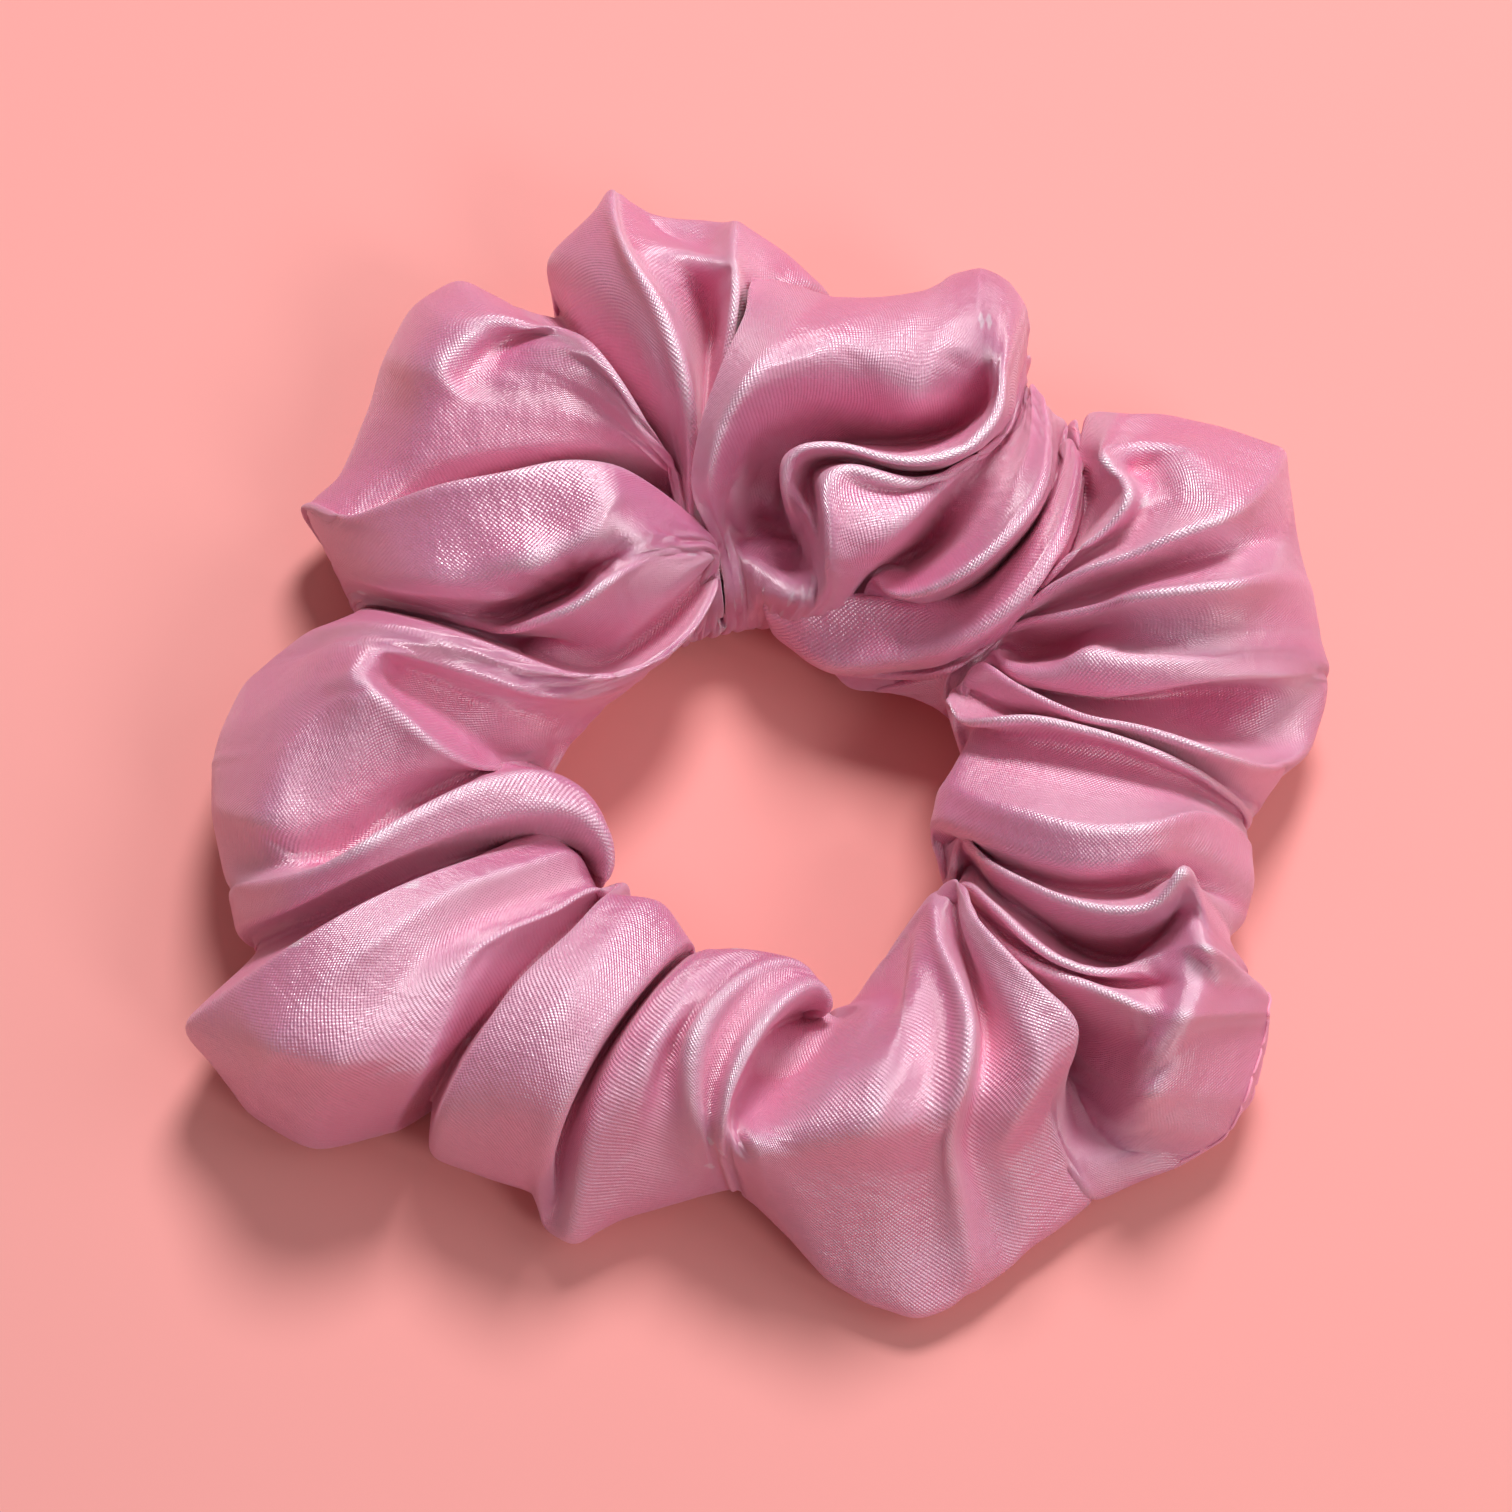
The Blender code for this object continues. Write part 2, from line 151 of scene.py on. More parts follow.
 (19.6, [(21.3,8.6,8),(26,6.3,9.5),(31,4.8,9),(36,4,8),(41,3.6,8),(45,3,9),(49,2.4,9),(53.6,2.2,7)]),
 (18, [(21,8.7,12.5),(25,6.7,16),(29,4.7,18),(32,3.6,19.5),(36,2.9,20.5),(40,1.8,21),(44,0.4,20.5),
          (48.2,-1,16),(50.6,-1.2,9)]),
 (15.5, [(19.6,7,11),(24,5.4,13),(29,3.7,14.5),(34,2.3,16),(40,0.3,17),(45,-1.9,14.5),(48.6,-4.1,8)]),
 (13.5, [(19,6.4,9),(24,4.5,9.5),(29,3,10.5),(34,1.8,12.5),(40,-0.6,14),(45,-3.2,12),(48,-5,7)]),
 (9, [(18.2,5.3,13),(19.4,3.3,15.5),(22.2,3.4,18.5),(26,3.7,20),(31,2.7,20.5),(37,0.9,20.5),(43,-1.9,17.5),
          (47.3,-6,9)]),
 (5, [(20.8,2.8,11),(24,2,13.5),(29,1.2,15),(35,0,15.5),(41,-2.4,14),(46.8,-6.4,8)]),
 (-2, [(20,1,12),(24,-0.3,15),(30,-2,16.5),(37,-3.2,17),(43,-4.4,14.5),(47,-7.4,8)]),
 (-14, [(17.6,-3.2,13),(21,-4.4,19),(26,-5.6,23),(32,-7,24.5),(38,-6.6,24),(42,-5.6,20.5),(45.4,-6.6,14),
          (47.5,-9,8)]),
 (-24, [(16.6,-6.5,13),(20,-7.2,17.5),(25,-9.2,20.5),(31,-10.6,22),(37,-10,22),(41.4,-9,19),(45.5,-10,14),
          (47.8,-12,8)]),
 (-29, [(17.8,-8.2,10),(20.5,-8.6,11.5),(24,-10.6,14),(30,-12.4,15.5),(36,-12.6,15.5),(40,-12,13.5),
          (45,-13.4,11),(46.9,-15.4,6)]),
 (-32.5, [(19.6,-7.7,13),(22,-10,17.5),(26,-12.2,20.5),(30,-13.9,22.5),(35,-14.8,23.5),(38.5,-14,24.5),
          (41,-10.6,26.5),(42.6,-13,20),(45.4,-17.6,9)]),
 # lower right, with the closing stitches on its edge
 (-34, [(19.9,-9,11),(22.4,-11.6,14),(26,-14,16),(30.5,-16,17),(35.4,-16.8,18),(38.8,-15.6,20),
          (41.5,-12.4,24),(43.4,-15.4,20),(46,-19.4,11)]),
 (-36.5, [(20.3,-10.4,8),(23.4,-13.4,8),(27.4,-16,7.5),(31.4,-18.6,8),(35.4,-19.4,9.5),(38.4,-17.4,14),
          (41.4,-14.6,20.5),(43.4,-17,20.5),(47,-20.4,10)]),
 (-40, [(19.7,-12.3,14.5),(22.5,-14.2,18),(26,-17.6,20.5),(29.4,-19.8,21.5),(33.5,-20.7,20.5),
          (36.8,-19.8,19),(40,-18.6,20.5),(43.2,-18.4,24),(46.8,-21.6,13)]),
 (-42.5, [(19.8,-13.5,11),(22.4,-16,12.5),(26,-19,13),(30,-20.8,14),(34,-21.8,15.5),(38.4,-21.8,17.5),
          (41.9,-21.6,21.5),(45.6,-22,17.5),(48.9,-22.4,12)]),
 (-45, [(20.2,-15.3,12),(23.4,-17.8,16),(26.8,-20,19.5),(31,-21.6,21),(35,-23.2,21.5),(38.4,-24.4,20.5),
          (40.8,-24.8,22.5),(45,-24.6,17.5),(49.1,-24.6,10)]),
 (-48, [(20.6,-16.4,9),(24.4,-20,9),(28.4,-23.4,9),(32,-26,11),(35.6,-27.6,14.5),(38.6,-28.8,19),
          (42,-27.6,17.5),(45,-27,14),(48.8,-27.6,8)]),
 (-50.5, [(20.7,-17,8),(25,-21.6,7),(29.4,-26.2,6.5),(32.6,-29.8,8.5),(35.6,-31,12.5),(37.8,-32.4,16.5),
          (42,-32,14),(47.6,-32.2,7)]),
 (-52.5, [(20.8,-17.6,7),(25.4,-22.8,6),(30,-28.4,5),(33.4,-33,7),(36.4,-35.4,10),(40,-35.6,10),
          (45.2,-36.2,5)]),
 (-54, [(20.9,-18,6),(25.5,-24,5),(29.8,-30,4.5),(32.4,-34.4,5.5),(35.4,-37.4,6),(38.4,-38,5.5),
          (41,-39.2,3)]),
 (-55.2, [(20.8,-17.6,7),(25.4,-23.4,6),(29.2,-30,6),(30.6,-35,6),(32.2,-38.8,6.5),(33.8,-42.2,3)]),
 # lower front lobe
 (-56.5, [(19.5,-12.4,17),(20.8,-15.2,20),(23.8,-18.6,22.3),(27.2,-22,23.2),(30.6,-25.4,22),(30.2,-29,19),
          (28,-33.5,13),(29.4,-38.8,8.5),(32,-43,3)]),
 (-58.5, [(19,-11.7,16),(19.8,-15.7,18.5),(22.4,-20.4,20.5),(25.6,-25.6,22),(27.2,-30,20.5),(25.4,-34.6,17),
          (24.3,-38,12),(26.5,-43,7),(28.5,-45.8,3)]),
 (-61, [(18.4,-12.4,14),(19.6,-17,14.5),(21,-22,15),(22,-27,16),(21.6,-32,16.5),(20.4,-36.8,13),
          (22.3,-43,8),(24.5,-49,3)]),
 (-63, [(16.6,-14,15),(17.6,-18,18.5),(19.6,-22,21.5),(20.6,-26.2,23.5),(20.2,-31,22.5),(18.6,-36.4,18),
          (19.4,-43.2,11),(21,-51.4,3)]),
 (-65, [(15.6,-16,14),(16.2,-19,17),(17.4,-22.2,18.5),(18,-26,19.5),(17.6,-31,20),(16.9,-35.2,19),
          (16.9,-39.5,13.5),(17.3,-45.5,8),(18.6,-53,3)]),
 (-68, [(14.7,-17.7,13),(14.6,-20.8,16.5),(15,-24,19.5),(14.8,-28.5,21.3),(14.2,-32,21.3),(13.6,-35.4,20.5),
          (13.3,-39.6,15),(13.8,-46,9),(15.6,-54,3)]),
 (-71, [(14.2,-22.6,14),(13.2,-26,19.5),(12.2,-30,22),(11,-35.4,21.5),(10.2,-39.6,15.5),(10.4,-46,9),
          (12,-53,3)]),
 (-75, [(11,-24,14),(9.6,-28,17),(7.4,-31.5,19.2),(5.8,-36,19.3),(5.2,-40,14.5),(5.8,-45.6,8.5),
          (7.6,-50.8,3)]),
 (-79, [(8.2,-25.3,10),(6.2,-27,9.5),(3.8,-29.8,10),(1.8,-33,12.5),(-0.2,-37,17),(1,-42,10),(3.2,-46,3)]),
 (-81.5, [(7.2,-24.6,8),(5,-24.8,7.5),(1.8,-26.8,8),(-0.6,-30,9.5),(-2.3,-34.4,14),(-2.2,-37.2,15.2),
          (-1.2,-40.6,8.5),(-0.6,-42.4,3)]),
 # bottom bands
 (-84, [(7.3,-24.3,12),(6.3,-22,15),(2.6,-23.8,19),(-0.4,-27.6,20.5),(-2.5,-32,19.5),(-3.3,-36,17),
          (-2.8,-39.2,11),(-1.6,-41.6,4)]),
 (-86, [(6.6,-22.6,12),(4.4,-20.6,15),(0.4,-22.6,17.5),(-2.8,-26.6,17.5),(-4.4,-31.6,16.5),
          (-4.4,-36.4,14.5),(-3.6,-39.6,9),(-2.8,-41.5,4)]),
 (-89, [(4.6,-20,14.5),(1,-20,18),(-3,-22.6,20.5),(-5.9,-27,21),(-6.2,-32,18.5),(-5.2,-36.6,14.5),
          (-4.8,-40,9),(-4.6,-42,4)]),
 (-93, [(2,-19.1,14.5),(-1.4,-20.2,18),(-5,-23.6,19),(-8,-28.5,17),(-8.4,-34.5,14),(-7.6,-39.5,9),
          (-7.4,-42.8,4)]),
 (-98, [(-1,-18.6,15),(-4.6,-20.2,19),(-8,-24.6,20.5),(-10.6,-31,18.5),(-11.6,-37,13),(-11.4,-43.9,4)]),
 (-103, [(-4,-18.6,14.5),(-7.5,-20.6,18),(-12,-26,19),(-15.2,-32.6,17),(-16.6,-39.6,12),(-17.3,-46.8,4)]),
 (-108, [(-5.8,-18.9,12),(-9,-21,13),(-13,-26,13),(-16.7,-32,12),(-19,-38,8.5),(-19,-42.5,6),
          (-20,-45.5,3)]),
 (-113, [(-6.4,-17.6,15),(-10,-20.8,20),(-14.5,-26.4,22),(-18,-33.4,20),(-19.8,-38.2,14),(-22,-41.6,5)]),
 (-120, [(-9,-14,16.5),(-13.5,-17.5,21.5),(-18.5,-24,23.5),(-23,-31,20.5),(-25.7,-37,13),(-26.3,-40.2,5)]),
 (-127, [(-13.5,-13.3,17),(-18,-17.2,20.5),(-23,-22,21.5),(-27,-28,19.5),(-30,-34,14.5),(-30.9,-38.2,6)]),
 (-132, [(-12.5,-12.2,11),(-17,-16,13),(-23,-21.8,13),(-27.5,-27,10.5),(-29.6,-30.4,8),(-31,-33,4)]),
 # lower left, the pointed lobe
 (-136, [(-15,-12.7,15),(-19.5,-15,17.5),(-24,-16.8,19.5),(-27.5,-19.3,20.5),(-29,-23.4,19.5),
          (-32,-30,17.5),(-32.8,-31.6,14.5),(-34.8,-36,3)]),
 (-140, [(-16,-11.5,13),(-20.5,-13.3,15.5),(-26,-15.3,18),(-31.4,-18.7,21),(-36,-23.4,21.5),
          (-40,-29.4,20.5),(-41,-31.4,17),(-42.8,-37.6,3)]),
 (-145, [(-17,-9.5,14.5),(-22,-10.5,18.5),(-29,-13,22),(-36,-17.5,24),(-42,-22.5,22.8),(-46.2,-27.8,20.5),
          (-47.2,-29.6,17),(-48.4,-34.2,4)]),
 (-151, [(-18.5,-8.4,14),(-25,-9.4,18),(-31,-11.3,21.5),(-38,-14.4,23.5),(-45,-18.6,22),(-51,-23,17),
          (-54.6,-26,11)]),
 (-157, [(-17.5,-7.5,9),(-25,-8.8,11.5),(-31,-10.8,13),(-38,-13.6,13),(-44,-16.2,11),(-47.8,-18.6,6)]),
 # left lobe
 (-161, [(-15.2,-12,10),(-17,-9,12),(-22,-7.6,14),(-29,-8.6,15),(-36,-10.8,16),(-42,-13.8,15),
          (-48,-17.4,8)]),
 (-165, [(-14.2,-12,13),(-13.7,-8.6,16.5),(-16.5,-5.5,19),(-22,-5.2,20.5),(-30,-7.6,21),(-38,-11.2,21),
          (-44.5,-14.4,18),(-49.8,-16.6,9)]),
 (-170, [(-14.1,-8,14),(-15.6,-4,17.5),(-19.5,-1.7,20),(-25,-2,22.5),(-32,-5,23.5),(-37.5,-8.2,24),
          (-41.4,-10.6,22),(-46,-12,18.5),(-50.4,-13.2,10)]),
 (-174, [(-17,-3.6,8),(-20.5,-1.4,11),(-25.5,-1.2,14.5),(-31,-3.6,15),(-36,-6.6,15.5),(-40.4,-9.8,15),
          (-45,-10.2,16.5),(-51,-10.6,10)]),
 (178, [(-20.5,-1,8),(-26,-1.2,15),(-31,-1.6,17.5),(-37,-3.6,18.5),(-42,-6.2,19),(-47,-6.6,19.5),
          (-52,-5.8,11)]),
 (170, [(-20,-0.5,7),(-25.4,-1.3,15.5),(-30,0.8,21.5),(-34,4.2,24.5),(-37.2,6.2,26),(-41,4.4,23.5),
          (-46,1,20.5),(-52,-0.5,11)]),
 (163, [(-18.6,0.8,6),(-23,0.6,11),(-27,2,15),(-31,4.4,17),(-34.8,6.6,19.5),(-37.9,8,25.8),(-42,7,22.5),
          (-47,4.2,18),(-51.2,2.4,10)]),
 (153, [(-16,3,6),(-20,3.4,10.5),(-25,4.6,14),(-29.6,6.6,15.5),(-33.4,8.6,18),(-36.6,9.9,24.5),(-40,9.9,23),
          (-44.8,8.3,16.5),(-49.4,6.2,9)]),
 (146, [(-12,6.6,9),(-16,5.4,14),(-21,5.8,18),(-26,7.4,20.5),(-30.6,9.3,21.5),(-34.6,11,23.5),
          (-38.6,11.2,22),(-42,10.2,16.5),(-46.5,9,9)]),
 (140, [(-8,10,9),(-12,7.2,13.5),(-18,6.9,17.5),(-23,8.5,20.5),(-28.6,10.6,22.5),(-33.5,12.2,23.5),
          (-38,12.8,20.5),(-43.5,11.2,9)]),
 (131, [(-4.6,14.2,11),(-8.6,9.8,14.5),(-13.4,7.6,16.5),(-18,7.7,18.5),(-23,9.5,20.5),(-28,11.4,21.5),
          (-33,13,19.5),(-38.5,13.5,9)]),
 (127, [(-3.7,17,12),(-5.6,12.8,14),(-9.6,9.4,14),(-14,8,12),(-18,8.4,11.5),(-23,10,12),(-28,11.8,12.5),
          (-33,13.3,11.5),(-38,13.9,7)]),
 # upper left lobe
 (122, [(-3.8,18.4,11),(-6.6,15.6,9),(-10.4,12,7.5),(-14.6,8.8,6),(-19,9.2,5.5),(-24,10.8,7),(-30,12.6,8),
          (-37.5,14,6)]),
 (120, [(-3.7,19,13),(-6.4,17.2,15),(-10.4,14,14.5),(-14,11,11.5),(-18,10.6,8.5),(-23,11.4,8),(-29,12.9,9),
          (-38,14.3,7)]),
 (118, [(-3.7,19.3,13.5),(-7.4,19.6,18),(-11.4,18.4,21),(-14.4,16.6,23),(-17,14.6,22.5),(-20,13.3,21),
          (-24,12,16.5),(-28,12.8,12),(-33,14,11),(-38.6,14.7,7)]),
 (117, [(-3.7,19.4,13.5),(-7.6,20.2,18.5),(-11.8,19.9,21.5),(-15.3,18,17),(-17.4,16.2,10),(-20.4,14.9,9),
          (-23.8,13.4,10),(-28,13.6,12.5),(-33,14.6,12.5),(-39,15.4,7)]),
 (116, [(-3.7,19.5,13.5),(-7.6,21,18.5),(-12,21.6,22.5),(-15.6,19.6,21.5),(-18.4,17.8,17.5),
          (-21.8,16.2,17.5),(-25,15,18),(-30,15.4,18.5),(-35,16,16),(-39.8,17,8)]),
 (115, [(-3.7,19.7,13.5),(-7.4,22,18.5),(-12.4,23.4,23),(-15.4,21.4,24.5),(-18.4,19.4,23.5),(-21.6,18.2,24),
          (-25.6,17,21.5),(-31,17,20.5),(-36,17.6,16.5),(-40.6,18.8,8)]),
 (113.8, [(-3.7,20,13),(-7,22.6,18),(-11.6,25,22.5),(-14,24.8,25),(-20,22.4,23.5),(-27,21.2,22.5),
          (-34,20.4,19.5),(-41.6,21,9)]),
 (112.8, [(-3.9,20.4,12),(-6.4,23,16),(-10.2,26,20.5),(-13.8,27.8,24),(-18,28.2,25),(-24,27,25),
          (-30,25.9,23.5),(-35,24.2,20),(-38.5,22.9,16.5),(-43,23.8,9)]),
 (112.3, [(-4.8,21,7),(-7.8,24.4,8),(-12,27,9),(-17,27.8,9),(-23,26.8,9.5),(-29,25.8,10.5),(-34,24.4,11),
          (-38.5,23.2,11.5),(-42.6,24.4,7)]),
 (112, [(-6.7,25.3,10),(-9.5,27.8,13),(-14,29.4,14.5),(-20,29.5,15),(-27,29,15),(-34,27.7,13),
          (-40,26.7,7)]),
 (111.8, [(-7.1,26,12),(-10,28.8,16),(-15,32,17.5),(-21,33,17.5),(-27,33.5,17),(-32,33.3,16),(-37.2,33,8)]),
 (111.6, [(-7.4,26.6,13),(-10.6,30,17),(-16.5,34.2,18.5),(-22.5,35.6,18.5),(-28,36.2,17.4),(-30,37,19.4),
          (-33,37.6,18),(-35.6,38,9)]),
 (111.4, [(-7.7,27,14),(-10.9,30.8,18.5),(-16,35.4,20),(-21,37.6,19.5),(-25.3,39,17.4),(-27,40.2,20.4),
          (-30,42,19),(-32.8,43,10)]),
 (111.25, [(-7.9,27.5,14),(-10.9,31.4,19.5),(-15,37,21.5),(-19,39.4,20.5),(-22.8,40.4,16.8),
          (-24.4,41.6,20.4),(-26.5,43.6,18),(-28.6,45.5,11)]),
 (111.1, [(-8.2,28,14),(-10.7,31.9,20),(-13.8,37,23),(-16.8,40.3,21.5),(-20.4,41.2,17.5),(-21.8,41.9,17),
          (-23.6,43,10)]),
]

# --- The cover's surface, from the fold lines ------------------------------------------------------------

COLUMNS, ROWS = 640, 104  # of the cloth's grid: along the ring, and round the tube
RING_MIDDLE = np.array([0.25, -7.82, 0.0])
RIDGE, VALLEY = 0.10, 0.95  # how round the cloth goes over a ridge and through a valley: 0 is a crease
RELIEF = 2.5  # height above the lines beside it that makes a line a full ridge
ELASTIC_RADIUS, ELASTIC_LEVEL, ELASTIC_ROOM = 25.0, 7.5, 3.5  # where the elastic runs, and its clear space
# The hidden side of each section, under the seen points: radii and heights
INNER_WALL, INNER_WALL_HEIGHT = 20.6, 5.5
INNER_FOOT, INNER_FOOT_HEIGHT = 25.0, 1.2
HEEL_INSET, LEAST_HEEL, HEEL_HEIGHT = 4.5, 30.0, 1.0
SIDE_BULGE, LEAST_SIDE = 1.5, 5.0  # of the outer side, where the edge is higher than LEAST_SIDE
LOWEST = 0.5
LEAST_STEP = 2.2  # along the ring, between two fold lines
STEP_PERCENTILE = 90  # of the distances between two fold lines that sets their step


def from_view(right, up, height):
    """The point at a height over the table that the main view shows at (right, up)."""
    on_picture = AIM + np.array([right, 0.0, 0.0]) + up * UP
    share = (height - EYE[2]) / (on_picture[2] - EYE[2])
    return EYE + share * (on_picture - EYE)


def clear_of_elastic(right, up, height):
    """The same place in the main view, but high enough to pass over the elastic."""
    place = from_view(right, up, height)
    off = abs(np.hypot(*(place - RING_MIDDLE)[:2]) - ELASTIC_RADIUS)
    if off < ELASTIC_ROOM:
        place = from_view(right, up, max(height, ELASTIC_LEVEL + math.sqrt(ELASTIC_ROOM**2 - off**2)))
    return place


def smooth_loop(points, steps=12):
    """A closed centripetal Catmull-Rom curve through the points."""
    points = np.asarray(points)
    curve = []
    for i in range(len(points)):
        p = [points[(i + k) % len(points)] for k in (-1, 0, 1, 2)]
        t = np.cumsum([0.0] + [max(np.linalg.norm(b - a), 1e-6) ** 0.5 for a, b in zip(p, p[1:])])
        x = np.linspace(t[1], t[2], steps, endpoint=False)[:, None]

        def between(a, b, ta, tb):
            return (tb - x) / (tb - ta) * a + (x - ta) / (tb - ta) * b

        a = [between(p[k], p[k + 1], t[k], t[k + 1]) for k in range(3)]
        b = [between(a[k], a[k + 1], t[k], t[k + 2]) for k in range(2)]
        curve.append(between(b[0], b[1], t[1], t[2]))
    return np.concatenate(curve)


def evenly(curve, count):
    """A closed curve as this many points, evenly spaced along it."""
    curve = np.vstack([curve, curve[:1]])
    run = np.concatenate([[0], np.cumsum(np.linalg.norm(np.diff(curve, axis=0), axis=1))])
    at = np.linspace(0, run[-1], count, endpoint=False)
    return np.stack([np.interp(at, run, curve[:, k]) for k in range(3)], axis=1)


def fold_line(angle, seen):
    """The whole tube's section at a fold line: the points seen, and the underside that hides below them."""
    out = np.array([math.cos(math.radians(angle)), math.sin(math.radians(angle)), 0.0])
    foot = RING_MIDDLE + out * INNER_FOOT + [0, 0, INNER_FOOT_HEIGHT]
    wall = RING_MIDDLE + out * INNER_WALL + [0, 0, INNER_WALL_HEIGHT]
    over = [clear_of_elastic(*point) for point in seen]
    edge = over[-1]
    away = (edge - RING_MIDDLE) * [1, 1, 0]
    reach = np.linalg.norm(away)
    heel = RING_MIDDLE + away / reach * max(reach - HEEL_INSET, LEAST_HEEL) + [0, 0, HEEL_HEIGHT]
    side = [0.5 * (edge + heel) + SIDE_BULGE * away / reach] if edge[2] > LEAST_SIDE else []
    under = 0.5 * (heel + foot)
    curve = smooth_loop([foot, wall, *over, *side, heel, under])
    curve[:, 2] = np.maximum(curve[:, 2], LOWEST)
    return evenly(curve, ROWS)


def lofted_cover():
    """The cover as a grid of points, COLUMNS by ROWS, and the column of each fold line."""
    lines = np.array([fold_line(angle, seen) for angle, seen in FOLDS])
    gaps = np.linalg.norm(np.roll(lines, -1, axis=0) - lines, axis=2)
    step = np.maximum(np.percentile(gaps, STEP_PERCENTILE, axis=1), LEAST_STEP)
    start = np.concatenate([[0], np.cumsum(step)])
    at = np.linspace(0, start[-1], COLUMNS, endpoint=False)
    k = np.searchsorted(start, at, side="right") - 1
    t = ((at - start[k]) / step[k])[:, None, None]
    n = len(lines)
    before, here, after, beyond = (lines[(k + i) % n] for i in (-1, 0, 1, 2))
    h0, h1, h2 = (step[(k + i) % n][:, None, None] for i in (-1, 0, 1))
    rise = lines[:, :, 2] - 0.5 * (np.roll(lines, 1, axis=0) + np.roll(lines, -1, axis=0))[:, :, 2]
    roundness = (0.5 * (RIDGE + VALLEY) + 0.5 * (RIDGE - VALLEY) * np.tanh(rise / RELIEF))[:, :, None]
    leave = roundness[k % n] * ((after - here) / h1 * h0 + (here - before) / h0 * h1) / (h0 + h1) * h1
    arrive = roundness[(k + 1) % n] * ((beyond - after) / h2 * h1 + (after - here) / h1 * h2) / (h1 + h2) * h1
    grid = (
        (2 * t**3 - 3 * t**2 + 1) * here
        + (t**3 - 2 * t**2 + t) * leave
        + (3 * t**2 - 2 * t**3) * after
        + (t**3 - t**2) * arrive
    )
    return grid, start[:-1] / start[-1] * COLUMNS


# --- The cloth solver ------------------------------------------------------------------------------------

STEPS = 60
PASSES = 5  # over the threads in each step
STRETCH, SHEAR, BEND = 0.9, 0.35, 0.06  # stiffness of the threads, the diagonals and the bends
LEAST_DIAGONAL = 0.05  # square of the shortest diagonal
MOMENTUM = 0.85
FASTEST = 0.5  # a step's farthest move
SAG = 0.002  # a step's fall
LAYER_GAP = 0.65  # between two layers of cloth that touch
NEAR = 0.9  # past the gap, how far apart layers can be and still be watched
LOOK_EVERY = 4  # steps between two searches for near layers
HOLD = 0.5  # pull back to the fold lines, felt over HOLD_SPREAD columns and rows
HOLD_SPREAD = 1.2
EVEN = 1.0  # columns and rows over which the rest lengths are evened out
REST_HEIGHT = 0.35


def blur(field, spread):
    """The field, smoothed round the ring and round the tube."""
    columns, rows = field.shape[:2]
    fu = np.fft.fftfreq(columns)[:, None]
    fv = np.fft.rfftfreq(rows)[None]
    keep = np.exp(-2 * math.pi**2 * spread**2 * (fu**2 + fv**2))
    keep = keep.reshape(keep.shape + (1,) * (field.ndim - 2))
    wave = np.fft.rfft2(field, axes=(0, 1)) * keep
    return np.fft.irfft2(wave, s=(columns, rows), axes=(0, 1)).astype(np.float32)


def apart(grid, along, round_tube=0):
    """Distance from each point to the one so many columns and rows away."""
    return np.linalg.norm(np.roll(grid, (-along, -round_tube), axis=(0, 1)) - grid, axis=2)


